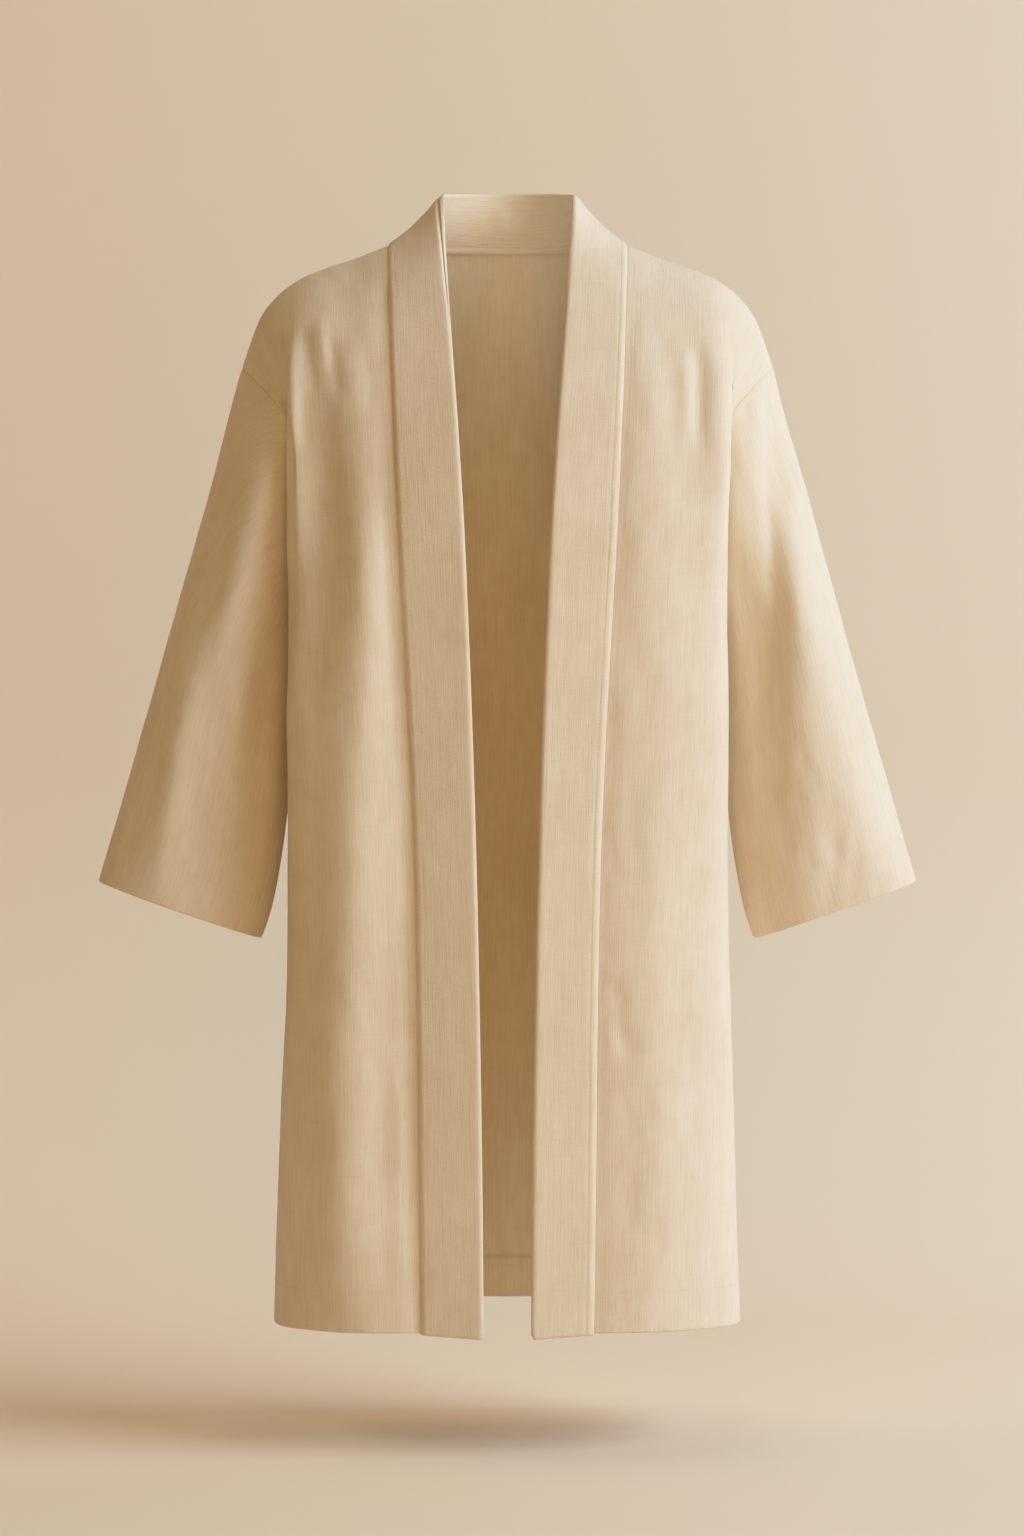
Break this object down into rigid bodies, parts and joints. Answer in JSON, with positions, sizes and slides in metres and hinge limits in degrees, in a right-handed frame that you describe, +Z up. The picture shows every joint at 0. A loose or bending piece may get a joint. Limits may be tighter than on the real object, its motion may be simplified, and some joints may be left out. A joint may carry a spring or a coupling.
{
  "type": "kimono jacket",
  "caption": "Open-front linen kimono jacket, mid-thigh, dropped shoulders, wide three-quarter sleeves, folded neckband down both fronts; hollow, as if worn, with no wearer.",
  "frame": {"origin": "on the centre line, level with the seam at the side of the neck, where the wearer's shoulders carry the jacket", "axes": "+Z up, the jacket faces -Y, +X is the wearer's left; metres"},
  "size_m": [0.734, 0.2619, 1.0194],
  "materials": {
    "linen": "plain-woven natural linen, matt, with slubs"
  },
  "bodies": {
    "root": {"back": "linen", "front_left": "linen", "front_right": "linen", "sleeve_left": "linen", "sleeve_right": "linen", "neckband": "linen"}
  },
  "joints": []
}
